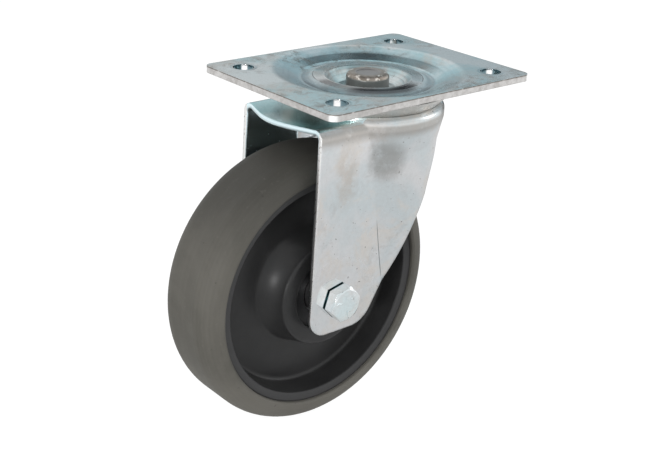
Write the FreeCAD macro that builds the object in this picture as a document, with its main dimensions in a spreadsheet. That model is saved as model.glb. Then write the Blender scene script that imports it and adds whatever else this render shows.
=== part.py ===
import FreeCAD, Part
import math
import os

import Sketcher
from FreeCAD import Vector

# A swivel castor with a mounting plate, a pressed steel fork and a 150 mm wheel.
# The origin is on the swivel axis, in the top face of the mounting plate, with +Z up.
# The wheel trails towards -X and its axle lies along Y. The head of the axle bolt is on
# the -Y side, which the names call the right side.

os.makedirs("parts", exist_ok=True)
doc = FreeCAD.newDocument("swivel_castor")
size = doc.addObject("Spreadsheet::Sheet", "size")

DIMENSIONS = (
    # mounting plate
    ("plate_length", 135.0, "plate, along X"),
    ("plate_width", 105.0, "plate, along Y"),
    ("plate_thickness", 3.5, "plate sheet"),
    ("plate_corner", 5.0, "corner radius of the plate"),
    ("hole_spacing_long", 105.0, "bolt holes, along X"),
    ("hole_spacing_wide", 75.0, "bolt holes, along Y"),
    ("hole_diameter", 11.0, "bolt holes"),
    ("dish_border", 2.5, "from the plate's long edge to where it dips"),
    ("dish_collar", 1.5, "flat ring round the dip that is turned with it"),
    ("dish_bend", 9.0, "bend where the plate begins to dip"),
    ("knee_radius", 43.0, "ring where the dip grows steeper"),
    ("knee_depth", 2.0, "that ring below the plate"),
    ("knee_bend", 20.0, "bend at that ring"),
    ("valley_radius", 34.6, "lowest ring of the dip"),
    ("valley_depth", 5.4, "top face of the valley below the plate"),
    ("valley_bend", 6.0, "bend in the bottom of the valley"),
    ("ridge_radius", 28.8, "outer edge of the ridge that forms the ball channel"),
    ("ridge_depth", 3.4, "top of the ridge below the plate"),
    ("recess_radius", 22.3, "edge of the recess for the kingpin"),
    ("recess_floor_radius", 16.0, "flat floor of the recess"),
    ("recess_depth", 10.0, "floor of the recess below the plate"),
    ("recess_bend", 1.75, "bends at the edge and the foot of the recess"),
    ("wall_under_foot", 1.75, "recess wall underneath, beyond its foot above"),
    ("wall_under_head", 2.45, "recess wall underneath, beyond its head above"),
    ("channel_margin", 1.0, "flat of the ball channel beyond the ridge"),
    # kingpin
    ("pin_diameter", 12.0, "shank of the kingpin"),
    ("pin_head_diameter", 22.6, "head of the kingpin"),
    ("pin_head_height", 8.7, "height of the head"),
    ("pin_head_round", 2.6, "rounding of the head's edge"),
    ("pin_dish_diameter", 12.4, "shallow dish in the head"),
    ("pin_dish_wall", 1.0, "slanted wall of that dish"),
    ("pin_dish_edge", 0.5, "depth of the dish at its wall"),
    ("pin_dish_depth", 0.7, "depth of the dish in the middle"),
    ("pin_nut_flats", 18.0, "kingpin nut across flats"),
    ("pin_nut_height", 8.0, "kingpin nut"),
    ("pin_end", 2.0, "pin end beyond its nut"),
    ("thread_depth", 0.7, "depth of the threads, whose ends stand bare at their root"),
    ("thread_hidden", 1.0, "how far the bare end of a thread reaches into its nut"),
    ("thread_chamfer", 1.0, "chamfer on the end of a thread"),
    # ball races of the swivel head
    ("upper_ball", 7.0, "ball diameter, upper ring"),
    ("upper_ball_circle", 56.0, "pitch circle, upper ring"),
    ("upper_ball_count", 24, "balls in the upper ring"),
    ("lower_ball", 6.0, "ball diameter, lower ring"),
    ("lower_ball_circle", 48.0, "pitch circle, lower ring"),
    ("lower_ball_count", 24, "balls in the lower ring"),
    ("race_depth", 0.35, "depth of a ball groove"),
    ("race_play", 0.15, "gap between a ball and its groove"),
    ("cup_sheet", 2.0, "sheet of the swivel cup"),
    ("cup_rim_radius", 45.1, "flared rim of the cup"),
    ("cup_rim_drop", 7.0, "rim of the cup below the plate's top"),
    ("cup_bore", 30.0, "hole in the floor of the cup"),
    ("race_hub", 25.0, "hub of the lower race"),
    ("race_flange", 3.5, "flange of the lower race"),
    ("race_lip", 2.0, "wall of the lip round the lower balls"),
    ("race_lip_rise", 1.0, "top of that lip above the middle of the balls"),
    ("race_chamfer", 1.0, "lower edge of the lower race"),
    # fork
    ("fork_width", 63.4, "over the legs"),
    ("fork_sheet", 2.5, "fork sheet"),
    ("bend_radius", 5.0, "outer bend between crown and legs"),
    ("web_drop", 16.0, "flat top of the crown below the plate's top"),
    ("crown_drop", 14.0, "raised round head of the crown below the plate's top"),
    ("crown_radius", 41.0, "round head of the crown"),
    ("shoulder", 4.0, "rounding of the head's shoulder"),
    ("crown_wall_drop", 21.5, "lower end of the head's upright wall"),
    ("skirt_drop", 29.5, "lower edge of the front skirt"),
    ("waist_drop", 34.0, "where the leg's bulge has narrowed to a cone"),
    ("waist_radius", 38.3, "bulge there"),
    ("foot_radius", 32.2, "bulge at the foot of the leg"),
    ("trail_reach", 58.9, "heel of the legs from the swivel axis"),
    ("web_reach", 63.0, "rear edge of the crown from the swivel axis, in its middle"),
    ("bow_radius", 38.0, "round middle part of that edge"),
    ("bow_half", 13.0, "half width of the round part"),
    ("bow_corner", 26.0, "where the straight parts beside it end, from the middle"),
    ("leg_front", 25.8, "front edge of the leg under the skirt"),
    ("leg_neck", 23.6, "front edge of the leg at its neck"),
    ("leg_neck_drop", 42.0, "neck below the plate's top"),
    ("leg_curve", 60.0, "curve of the front edge below the neck"),
    ("leg_curve_x", 14.5, "lower end of that curve"),
    ("leg_curve_drop", 62.0, "lower end of that curve below the plate's top"),
    ("leg_edge_offset", 24.0, "slanted front edge from the axle's centre"),
    ("leg_below_axle", 17.6, "foot of the leg below the axle"),
    ("leg_heel_round", 10.0, "rear corner of the leg"),
    ("leg_toe_round", 15.0, "front corner of the leg"),
    # axle
    ("swivel_offset", 41.0, "axle behind the swivel axis"),
    ("tyre_clearance", 15.5, "between the tyre and the crown of the fork"),
    ("axle_diameter", 10.0, "axle bolt"),
    ("axle_play", 0.25, "gap round the bolt in the legs and the tube"),
    ("bolt_flats", 17.0, "bolt head and nut across flats"),
    ("bolt_head", 6.4, "height of the bolt head"),
    ("bolt_turn", 12.0, "turn of the bolt head, in degrees"),
    ("hexagon_face", 0.95, "round end face of a bolt head or nut, as a share of its flats"),
    ("washer_face", 0.6, "collar under the bolt head"),
    ("washer_face_diameter", 16.3, "collar under the bolt head"),
    ("washer_diameter", 20.0, "washer under the nut"),
    ("washer_thickness", 2.0, "washer under the nut"),
    ("nut_height", 10.0, "lock nut, with its collar"),
    ("nut_collar", 2.6, "collar of the lock nut"),
    ("nut_collar_diameter", 15.0, "collar of the lock nut"),
    ("nut_collar_chamfer", 1.0, "edge of that collar"),
    ("nut_lip", 0.6, "lip of the collar over the nylon ring"),
    ("insert_wall", 1.4, "nylon ring in the lock nut"),
    ("bolt_end", 3.0, "bolt end beyond the nut"),
    ("tube_diameter", 17.0, "sleeve over the axle bolt"),
    ("fit", 0.03, "gap of a sliding or pressed fit"),
    # wheel and its bearings
    ("wheel_diameter", 150.0, "over the tread"),
    ("tyre_width", 42.8, "over the side walls"),
    ("tyre_depth", 12.2, "tread to rim"),
    ("tyre_shoulder", 12.2, "rounding of the tread's shoulders"),
    ("tyre_lip", 1.5, "rounding at the foot of the side wall"),
    ("rim_width", 37.9, "over the rim"),
    ("rim_lip", 4.5, "side face of the rim"),
    ("rim_slant", 0.8, "how far that face leans in"),
    ("key_width", 24.0, "channel that holds the tyre"),
    ("key_depth", 2.8, "channel that holds the tyre"),
    ("key_slant", 1.5, "slant of the channel's walls"),
    ("web_thickness", 9.2, "disc between hub and rim"),
    ("web_fillet", 2.2, "fillets of that disc"),
    ("hub_width", 44.8, "over the hub"),
    ("hub_diameter", 57.2, "face of the hub"),
    ("hub_draft", 4.0, "how much the hub widens towards the disc"),
    ("rim_draft", 1.4, "how much the rim thickens towards the disc"),
    ("hub_round", 1.6, "edge of the hub's face"),
    ("ledge_width", 9.4, "ledge between the two bearings"),
    ("ledge_bore", 32.0, "bore of that ledge"),
    ("bearing_outer", 40.0, "bearing outside diameter"),
    ("bearing_width", 12.0, "bearing"),
    ("outer_shoulder", 33.6, "bore of the outer ring beside its groove"),
    ("inner_shoulder", 23.4, "inner ring beside its groove"),
    ("bearing_ball", 6.7, "ball diameter"),
    ("bearing_circle", 28.5, "pitch circle of the balls"),
    ("bearing_ball_count", 8, "balls in each bearing"),
    ("bearing_play", 0.08, "gap between a ball and its groove"),
    ("cage_wall", 1.8, "wall of the ball cage"),
    ("cage_width", 9.4, "ball cage"),
    ("bush_diameter", 23.0, "bushes and spacer on the sleeve"),
    ("cap_thickness", 1.5, "dust cap"),
    ("cap_gap", 0.4, "gap round the bush in the dust cap"),
)

for row, (alias, value, meaning) in enumerate(DIMENSIONS, start=1):
    size.set(f"A{row}", meaning)
    size.set(f"B{row}", str(value))
    size.setAlias(f"B{row}", alias)
doc.recompute()

# Places worked out from the sizes, as expressions on the sheet.
DISH_EDGE = "(size.plate_width / 2 - size.dish_border)"
WHEEL_RADIUS = "(size.wheel_diameter / 2)"
HALF_FORK = "(size.fork_width / 2)"
AXLE_DROP = f"(size.web_drop + size.fork_sheet + size.tyre_clearance + {WHEEL_RADIUS})"
AXLE = ("-size.swivel_offset", "0", f"-{AXLE_DROP}")
LEG_FOOT = f"({AXLE_DROP} + size.leg_below_axle)"
CHANNEL_TOP = "(size.ridge_depth + size.plate_thickness)"
UPPER_BALLS = f"({CHANNEL_TOP} - size.race_depth + size.race_play + size.upper_ball / 2)"
CUP_FLOOR = f"({UPPER_BALLS} + size.upper_ball / 2 + size.race_play - size.race_depth)"
CUP_UNDER = f"({CUP_FLOOR} + size.cup_sheet)"
LOWER_BALLS = f"({CUP_UNDER} - size.race_depth + size.race_play + size.lower_ball / 2)"
FLANGE_TOP = f"({LOWER_BALLS} + size.lower_ball / 2 + size.race_play - size.race_depth)"
FLANGE_UNDER = f"({FLANGE_TOP} + size.race_flange)"
PLATE_UNDER = "(size.recess_depth + size.plate_thickness)"
CUP_SLANT = "(size.cup_rim_radius + size.cup_rim_drop)"
RIM_RADIUS = f"({WHEEL_RADIUS} - size.tyre_depth)"
BEARING_IN = "(size.ledge_width / 2)"
BEARING_OUT = "(size.ledge_width / 2 + size.bearing_width)"
NUT_SEAT = "(size.fork_width / 2 + size.washer_thickness)"
BOW_ROOT = "sqrt(size.bow_radius ^ 2 - size.bow_half ^ 2)"
BOW_END = f"(size.web_reach - size.bow_radius + {BOW_ROOT})"
CORNER_REACH = f"({BOW_END} - (size.bow_corner - size.bow_half) * size.bow_half / {BOW_ROOT})"
BEND_FOOT = "(size.web_drop + size.bend_radius)"

# BEYOND takes a cutter well past the metal, CLEAR only just past it. NEAR is how closely an
# edge must lie to its place to be found.
BEYOND = 30.0
CLEAR = 1.0
NEAR = 0.01


def number(expression):
    """The present value of an expression on the size sheet."""
    return float(size.evalExpression(str(expression)))


def new_body(node, place=("0", "0", "0")):
    body = doc.addObject("PartDesign::Body", node)
    body.Label = node
    for axis, expression in zip("xyz", place):
        body.setExpression(f"Placement.Base.{axis}", expression)
    return body


def origin_part(body, role):
    return next(part for part in body.Origin.OriginFeatures if part.Role == role)


def arc_between(start, end, radius):
    """An arc of under half a turn; it bulges to the right of travel, or to the left if negative."""
    chord = end - start
    middle = (start + end) * 0.5
    reach = math.sqrt(max(radius * radius - chord.Length ** 2 / 4, 0.0))
    left = Vector(-chord.y, chord.x, 0).normalize()
    centre = middle + left * (reach if radius > 0 else -reach)
    first, last = (start, end) if radius > 0 else (end, start)
    begin = math.atan2(first.y - centre.y, first.x - centre.x)
    finish = math.atan2(last.y - centre.y, last.x - centre.x)
    if finish < begin:
        finish += 2 * math.pi
    return Part.ArcOfCircle(Part.Circle(centre, Vector(0, 0, 1), abs(radius)), begin, finish)


def bind(sketch, name, constraint, expression):
    """Add a constraint to a sketch and tie it to the size sheet."""
    index = sketch.addConstraint(constraint)
    sketch.renameConstraint(index, name)
    sketch.setExpression(f"Constraints.{name}", expression)


def draw_circle(sketch, mark, x, y, radius):
    centre = Vector(number(x), number(y), 0)
    circle = Part.Circle(centre, Vector(0, 0, 1), number(radius))
    edge = sketch.addGeometry(circle)
    bind(sketch, f"r{mark}", Sketcher.Constraint("Radius", edge, number(radius)), radius)
    pin(sketch, mark, edge, 3, x, y)


def pin(sketch, mark, edge, end, x, y):
    """Hold one point of an edge at its place."""
    if x == "0":
        sketch.addConstraint(Sketcher.Constraint("PointOnObject", edge, end, -2))
    else:
        rule = Sketcher.Constraint("DistanceX", -1, 1, edge, end, number(x))
        bind(sketch, f"x{mark}", rule, x)
    if y == "0":
        sketch.addConstraint(Sketcher.Constraint("PointOnObject", edge, end, -1))
    else:
        rule = Sketcher.Constraint("DistanceY", -1, 1, edge, end, number(y))
        bind(sketch, f"y{mark}", rule, y)


def draw_outline(sketch, mark, corners):
    points = [Vector(number(corner[0]), number(corner[1]), 0) for corner in corners]
    edges = []
    for place, corner in enumerate(corners):
        start, end = points[place], points[(place + 1) % len(points)]
        if len(corner) == 3:
            edge = sketch.addGeometry(arc_between(start, end, number(corner[2])))
            ends = (1, 2) if number(corner[2]) > 0 else (2, 1)
        else:
            edge = sketch.addGeometry(Part.LineSegment(start, end))
            ends = (1, 2)
        edges.append((edge, ends))
    for place, corner in enumerate(corners):
        edge, ends = edges[place]
        after, after_ends = edges[(place + 1) % len(edges)]
        sketch.addConstraint(Sketcher.Constraint("Coincident", edge, ends[1], after, after_ends[0]))
        pin(sketch, f"{mark}_{place}", edge, ends[0], corner[0], corner[1])
        if len(corner) == 3:
            radius = abs(number(corner[2]))
            rule = Sketcher.Constraint("Radius", edge, radius)
            bind(sketch, f"r{mark}_{place}", rule, f"abs({corner[2]})")


def draw(body, name, role, *outlines):
    """A sketch on one of the body's own origin planes.

    An outline is a list of corners (x, y) or (x, y, radius) in expressions on the size sheet;
    the radius bends the edge to the next corner. A single (x, y, radius) is a full circle.
    """
    sketch = body.newObject("Sketcher::SketchObject", name)
    sketch.AttachmentSupport = [(origin_part(body, role), "")]
    sketch.MapMode = "FlatFace"
    for mark, outline in enumerate(outlines):
        if isinstance(outline, tuple):
            draw_circle(sketch, mark, *outline)
        else:
            draw_outline(sketch, mark, outline)
    return sketch


def shape_of(body):
    doc.recompute()
    return body.Shape


def pad(body, sketch, length, backwards=False, start=None):
    """Raise a sketch along its normal, or against it, from its plane or from a height over it."""
    if start is not None:
        sketch.setExpression("AttachmentOffset.Base.z", start)
    feature = body.newObject("PartDesign::Pad", f"{sketch.Name}_pad")
    feature.Profile = sketch
    feature.setExpression("Length", length)
    feature.Reversed = backwards
    doc.recompute()
    return feature


def cut(body, feature, before):
    """Recompute a cut and make sure that it took something away."""
    doc.recompute()
    if not body.Shape.Volume < before - 1e-6:
        raise ValueError(f"{feature.Name} cuts nothing from {body.Label}")
    return feature


def cut_through(body, sketch):
    before = shape_of(body).Volume
    feature = body.newObject("PartDesign::Pocket", f"{sketch.Name}_pocket")
    feature.Profile = sketch
    feature.Type = "ThroughAll"
    feature.Midplane = True
    return cut(body, feature, before)


def cut_down(body, sketch, depth, backwards=False):
    """Cut a sketch to a depth against its normal, or along it."""
    before = shape_of(body).Volume
    feature = body.newObject("PartDesign::Pocket", f"{sketch.Name}_pocket")
    feature.Profile = sketch
    feature.Reversed = backwards
    feature.setExpression("Length", depth)
    return cut(body, feature, before)


def turn(body, sketch):
    """A solid of revolution about the sketch's upright axis."""
    feature = body.newObject("PartDesign::Revolution", f"{sketch.Name}_turn")
    feature.Profile = sketch
    feature.ReferenceAxis = (sketch, ["V_Axis"])
    feature.Angle = 360
    doc.recompute()
    return feature


def turn_away(body, sketch):
    """A groove of revolution about the sketch's upright axis."""
    before = shape_of(body).Volume
    feature = body.newObject("PartDesign::Groove", f"{sketch.Name}_groove")
    feature.Profile = sketch
    feature.ReferenceAxis = (sketch, ["V_Axis"])
    feature.Angle = 360
    return cut(body, feature, before)


def rings_at(body, radius, height):
    """Names of the round edges about the swivel axis with a radius, at a height."""
    names = []
    for index, edge in enumerate(shape_of(body).Edges, start=1):
        curve = edge.Curve
        if not isinstance(curve, Part.Circle) or math.hypot(curve.Center.x, curve.Center.y) > NEAR:
            continue
        if abs(curve.Radius - number(radius)) < NEAR and abs(curve.Center.z - number(height)) < NEAR:
            names.append(f"Edge{index}")
    return names


def round_off(body, name, edges, radius):
    """Fillet edges of the body's last feature."""
    if not edges:
        raise ValueError(f"no edge to round on {body.Label}")
    last = body.Tip
    feature = body.newObject("PartDesign::Fillet", name)
    feature.Base = (last, edges)
    feature.setExpression("Radius", radius)
    doc.recompute()
    return feature


def repeat_round(body, feature, axis, count):
    """Repeat a feature evenly round one of the body's own axes."""
    pattern = body.newObject("PartDesign::PolarPattern", "ring")
    pattern.Originals = [feature]
    pattern.Axis = (origin_part(body, axis), [""])
    pattern.Angle = 360
    pattern.setExpression("Occurrences", count)
    body.Tip = pattern
    doc.recompute()


def make_balls(node, place, axis, diameter, circle, height, count):
    """A ring of loose balls round an axis, the first one on the +X side."""
    body = new_body(node, place)
    ball = body.newObject("PartDesign::AdditiveSphere", "ball")
    ball.AttachmentSupport = [(origin_part(body, "XY_Plane"), "")]
    ball.MapMode = "FlatFace"
    ball.setExpression("Radius", f"{diameter} / 2")
    ball.setExpression("AttachmentOffset.Base.x", f"{circle} / 2")
    ball.setExpression(f"AttachmentOffset.Base.{axis}", height)
    doc.recompute()
    repeat_round(body, ball, f"{axis.upper()}_Axis", count)
    return body


def hexagon(flats, angle="0"):
    """Corners of a hexagon across its flats, turned by some degrees."""
    corners = []
    for step in range(6):
        bearing = f"(({angle} + {60 * step}) * 1 deg)"
        corners.append((f"{flats} / sqrt(3) * cos{bearing}", f"{flats} / sqrt(3) * sin{bearing}"))
    return corners


def corner_cut(flats, face, inward):
    """The triangle that takes the corners off a hexagon's end face, 30 degrees to the face."""
    seat = f"({flats} * size.hexagon_face / 2)"
    tip = f"({flats} / sqrt(3) + {CLEAR})"
    back = f"({face} {inward} ({tip} - {seat}) * tan(30 deg))"
    return [(seat, face), (tip, face), (tip, back)]


def mirrored(half):
    """A half outline and its mirror image in the sketch's level axis, as one outline."""
    other = []
    for place in range(len(half) - 1, -1, -1):
        x, y = half[place][0], f"-({half[place][1]})"
        bend = half[place - 1][2:] if place else ()
        other.append((x, y) + tuple(bend))
    return list(half) + other


def rounded_plate(length, width, corner):
    x, y = f"({length} / 2)", f"({width} / 2)"
    inner_x, inner_y = f"({x} - {corner})", f"({y} - {corner})"
    return [
        (f"-{inner_x}", f"-{y}"), (inner_x, f"-{y}", corner),
        (x, f"-{inner_y}"), (x, inner_y, corner),
        (inner_x, y), (f"-{inner_x}", y, corner),
        (f"-{x}", inner_y), (f"-{x}", f"-{inner_y}", corner),
    ]


def make_top_plate():
    body = new_body("top_plate")
    holes = []
    for along in ("-", ""):
        for across in ("-", ""):
            x = f"{along}size.hole_spacing_long / 2"
            y = f"{across}size.hole_spacing_wide / 2"
            holes.append((x, y, "size.hole_diameter / 2"))
    dish_rim = f"({DISH_EDGE} + size.dish_collar)"
    outline = draw(
        body, "outline", "XY_Plane",
        rounded_plate("size.plate_length", "size.plate_width", "size.plate_corner"),
        ("0", "0", dish_rim), *holes)
    pad(body, outline, "size.plate_thickness", backwards=True)
    bore = "size.pin_diameter / 2 + size.fit"
    wall_foot = "(size.recess_floor_radius + size.wall_under_foot)"
    wall_head = "(size.recess_radius + size.wall_under_head)"
    knee_under = "-(size.knee_depth + size.plate_thickness)"
    valley_under = "-(size.valley_depth + size.plate_thickness)"
    press = draw(body, "press", "XZ_Plane", [
        (dish_rim, "0"),
        (DISH_EDGE, "0"),
        ("size.knee_radius", "-size.knee_depth"),
        ("size.valley_radius", "-size.valley_depth"),
        ("size.ridge_radius", "-size.ridge_depth"),
        ("size.recess_radius", "-size.ridge_depth"),
        ("size.recess_floor_radius", "-size.recess_depth"),
        (bore, "-size.recess_depth"),
        (bore, f"-{PLATE_UNDER}"),
        (wall_foot, f"-{PLATE_UNDER}"),
        (wall_head, f"-{CHANNEL_TOP}"),
        ("size.ridge_radius + size.channel_margin", f"-{CHANNEL_TOP}"),
        ("size.valley_radius", valley_under),
        ("size.knee_radius", knee_under),
        (DISH_EDGE, "-size.plate_thickness"),
        (dish_rim, "-size.plate_thickness"),
    ])
    turn(body, press)
    turn_away(body, draw(
        body, "race", "XZ_Plane",
        ("size.upper_ball_circle / 2", f"-{UPPER_BALLS}", "size.upper_ball / 2 + size.race_play")))
    bends = (
        ("dish_above", DISH_EDGE, "0", "size.dish_bend"),
        ("dish_below", DISH_EDGE, "-size.plate_thickness", "size.dish_bend - size.plate_thickness"),
        ("knee_above", "size.knee_radius", "-size.knee_depth", "size.knee_bend"),
        ("knee_below", "size.knee_radius", knee_under, "size.knee_bend - size.plate_thickness"),
        ("valley_above", "size.valley_radius", "-size.valley_depth", "size.valley_bend"),
        ("valley_below", "size.valley_radius", valley_under, "size.valley_bend + size.plate_thickness"),
        ("recess_edge", "size.recess_radius", "-size.ridge_depth", "size.recess_bend"),
        ("recess_foot", "size.recess_floor_radius", "-size.recess_depth", "size.recess_bend"),
    )
    for name, radius, height, bend in bends:
        round_off(body, name, rings_at(body, radius, height), bend)
    return body


def make_kingpin():
    body = new_body("kingpin")
    top = "(size.recess_depth - size.pin_head_height)"
    end = f"({FLANGE_UNDER} + size.pin_nut_height + size.pin_end)"
    root = "size.pin_diameter / 2 - size.thread_depth"
    head, dish, edge = "size.pin_head_diameter / 2", "size.pin_dish_diameter / 2", "size.pin_head_round"
    profile = draw(body, "profile", "XZ_Plane", [
        ("0", f"-{end}"),
        (f"{root} - size.thread_chamfer", f"-{end}"),
        (root, f"-({end} - size.thread_chamfer)"),
        (root, f"-({end} - size.pin_end - size.thread_hidden)"),
        ("size.pin_diameter / 2", f"-({end} - size.pin_end - size.thread_hidden)"),
        ("size.pin_diameter / 2", "-size.recess_depth"),
        (head, "-size.recess_depth"),
        (head, f"-({top} + {edge})", edge),
        (f"{head} - {edge}", f"-{top}"),
        (dish, f"-{top}"),
        (f"{dish} - size.pin_dish_wall", f"-({top} + size.pin_dish_edge)"),
        ("0", f"-({top} + size.pin_dish_depth)"),
    ])
    turn(body, profile)
    return body


def make_kingpin_nut():
    body = new_body("kingpin_nut")
    block = draw(body, "hexagon", "XY_Plane", hexagon("size.pin_nut_flats"),
                 ("0", "0", "size.pin_diameter / 2 + size.fit"))
    bottom = f"({FLANGE_UNDER} + size.pin_nut_height)"
    pad(body, block, "size.pin_nut_height", start=f"-{bottom}")
    turn_away(body, draw(body, "corners", "XZ_Plane",
                         corner_cut("size.pin_nut_flats", f"-{bottom}", "+")))
    return body


def make_swivel_balls():
    centre = ("0", "0", "0")
    upper = make_balls("upper_balls", centre, "z", "size.upper_ball", "size.upper_ball_circle",
                       f"-{UPPER_BALLS}", "size.upper_ball_count")
    lower = make_balls("lower_balls", centre, "z", "size.lower_ball", "size.lower_ball_circle",
                       f"-{LOWER_BALLS}", "size.lower_ball_count")
    return [upper, lower]


def make_swivel_cup():
    body = new_body("swivel_cup")
    inside = f"({CUP_SLANT} - size.cup_sheet * sqrt(2))"
    section = draw(body, "section", "XZ_Plane", [
        ("size.cup_bore / 2", f"-{CUP_UNDER}"),
        (f"{CUP_SLANT} - {CUP_UNDER}", f"-{CUP_UNDER}"),
        ("size.cup_rim_radius", "-size.cup_rim_drop"),
        (f"{inside} - size.cup_rim_drop", "-size.cup_rim_drop"),
        (f"{inside} - {CUP_FLOOR}", f"-{CUP_FLOOR}"),
        ("size.cup_bore / 2", f"-{CUP_FLOOR}"),
    ])
    turn(body, section)
    turn_away(body, draw(
        body, "race_above", "XZ_Plane",
        ("size.upper_ball_circle / 2", f"-{UPPER_BALLS}", "size.upper_ball / 2 + size.race_play")))
    turn_away(body, draw(
        body, "race_below", "XZ_Plane",
        ("size.lower_ball_circle / 2", f"-{LOWER_BALLS}", "size.lower_ball / 2 + size.race_play")))
    return body


def make_lower_race():
    body = new_body("lower_race")
    lip_in = "(size.lower_ball_circle / 2 + size.lower_ball / 2 + size.race_play + size.race_depth)"
    lip_out = f"({lip_in} + size.race_lip)"
    bore = "size.pin_diameter / 2 + size.fit"
    section = draw(body, "section", "XZ_Plane", [
        (bore, f"-{FLANGE_UNDER}"),
        (f"{lip_out} - size.race_chamfer", f"-{FLANGE_UNDER}"),
        (lip_out, f"-({FLANGE_UNDER} - size.race_chamfer)"),
        (lip_out, f"-({LOWER_BALLS} - size.race_lip_rise)"),
        (lip_in, f"-({LOWER_BALLS} - size.race_lip_rise)"),
        (lip_in, f"-{FLANGE_TOP}"),
        ("size.race_hub / 2", f"-{FLANGE_TOP}"),
        ("size.race_hub / 2", f"-{PLATE_UNDER}"),
        (bore, f"-{PLATE_UNDER}"),
    ])
    turn(body, section)
    turn_away(body, draw(
        body, "race", "XZ_Plane",
        ("size.lower_ball_circle / 2", f"-{LOWER_BALLS}", "size.lower_ball / 2 + size.race_play")))
    return body


def bulge_profile(inset, top, shoulder):
    """Half section of the round crown and of the bulge that runs down the legs."""
    wall = f"(size.crown_radius - {inset})"
    return [
        ("0", f"-({LEG_FOOT} + {BEYOND})"),
        (f"size.foot_radius - {inset}", f"-({LEG_FOOT} + {BEYOND})"),
        (f"size.foot_radius - {inset}", f"-{LEG_FOOT}"),
        (f"size.waist_radius - {inset}", "-size.waist_drop"),
        (wall, "-size.crown_wall_drop"),
        (wall, f"-({top} + {shoulder})", shoulder),
        (f"{wall} - {shoulder}", f"-{top}"),
        ("0", f"-{top}"),
    ]


def channel_section(inset, top):
    """The crown and legs seen from behind, as an upside-down U filled in."""
    half, bend = f"({HALF_FORK} - {inset})", f"(size.bend_radius - {inset})"
    foot = f"-({LEG_FOOT} + {BEYOND})"
    return [
        (f"-{half}", foot),
        (half, foot),
        (half, f"-({top} + {bend})", bend),
        (f"{half} - {bend}", f"-{top}"),
        (f"-({half} - {bend})", f"-{top}", bend),
        (f"-{half}", f"-({top} + {bend})"),
    ]


def leg_outline():
    """The fork seen from the side: skirt, curved and slanted front edge, foot and heel."""
    neck = ("size.leg_neck", "-size.leg_neck_drop")
    curve_end = ("size.leg_curve_x", "-size.leg_curve_drop")
    reach_x = "(size.leg_curve_x + size.swivel_offset)"
    reach_z = f"({AXLE_DROP} - size.leg_curve_drop)"
    span = f"sqrt({reach_x} ^ 2 + {reach_z} ^ 2)"
    slope = f"(atan({reach_z} / {reach_x}) + asin(size.leg_edge_offset / {span}))"
    corner_x = f"(size.leg_curve_x - ({LEG_FOOT} - size.leg_curve_drop) / tan({slope}))"
    tangent = f"(size.leg_toe_round * tan({slope} / 2))"
    far = f"(size.trail_reach + {BEYOND})"
    heel = "(size.trail_reach - size.leg_heel_round)"
    return [
        (f"-{far}", "0"),
        (f"-{far}", f"-{BEND_FOOT}"),
        (f"-{CORNER_REACH}", f"-{BEND_FOOT}"),
        ("-size.trail_reach", f"-({LEG_FOOT} - size.leg_heel_round)", "size.leg_heel_round"),
        (f"-{heel}", f"-{LEG_FOOT}"),
        (f"{corner_x} - {tangent}", f"-{LEG_FOOT}", "size.leg_toe_round"),
        (f"{corner_x} + {tangent} * cos({slope})", f"-({LEG_FOOT} - {tangent} * sin({slope}))"),
        curve_end + ("-size.leg_curve",),
        neck,
        ("size.leg_front", "-size.skirt_drop"),
        (far, "-size.skirt_drop"),
        (far, "0"),
    ]


def make_fork():
    body = new_body("fork")
    pad(body, draw(body, "channel", "YZ_Plane", channel_section("0", "size.web_drop")),
        f"size.web_reach + {CLEAR}", backwards=True)
    turn(body, draw(body, "bulge", "XZ_Plane",
                    bulge_profile("0", "size.crown_drop", "size.shoulder")))
    cut_down(body, draw(body, "inside", "YZ_Plane", channel_section(
        "size.fork_sheet", "(size.web_drop + size.fork_sheet)")), f"size.web_reach + {2 * CLEAR}")
    turn_away(body, draw(body, "bulge_inside", "XZ_Plane", bulge_profile(
        "size.fork_sheet", "(size.crown_drop + size.fork_sheet)",
        "(size.shoulder - size.fork_sheet)")))
    wide = f"(size.trail_reach + {2 * BEYOND})"
    around = [
        (f"-{wide}", f"-({LEG_FOOT} + {2 * BEYOND})"),
        (wide, f"-({LEG_FOOT} + {2 * BEYOND})"),
        (wide, f"{BEYOND}"),
        (f"-{wide}", f"{BEYOND}"),
    ]
    cut_through(body, draw(body, "side_trim", "XZ_Plane", around, leg_outline()))
    cut_down(body, draw(body, "rear_trim", "XY_Plane", [
        (f"-{wide}", "-size.fork_width"),
        (f"-{CORNER_REACH}", "-size.fork_width"),
        (f"-{CORNER_REACH}", "-size.bow_corner"),
        (f"-{BOW_END}", "-size.bow_half", "-size.bow_radius"),
        (f"-{BOW_END}", "size.bow_half"),
        (f"-{CORNER_REACH}", "size.bow_corner"),
        (f"-{CORNER_REACH}", "size.fork_width"),
        (f"-{wide}", "size.fork_width"),
    ]), BEND_FOOT)
    slant = f"({CUP_SLANT} + size.fit * sqrt(2))"
    turn_away(body, draw(body, "cup_seat", "XZ_Plane", [
        ("0", f"-({CUP_UNDER} + {BEYOND})"),
        (f"{slant} - {CUP_UNDER}", f"-({CUP_UNDER} + {BEYOND})"),
        (f"{slant} - {CUP_UNDER}", f"-{CUP_UNDER}"),
        (f"{slant} - size.crown_drop + {CLEAR}", f"-(size.crown_drop - {CLEAR})"),
        ("0", f"-(size.crown_drop - {CLEAR})"),
    ]))
    cut_through(body, draw(body, "axle_holes", "XZ_Plane",
                           (AXLE[0], AXLE[2], "size.axle_diameter / 2 + size.axle_play")))
    return body


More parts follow.
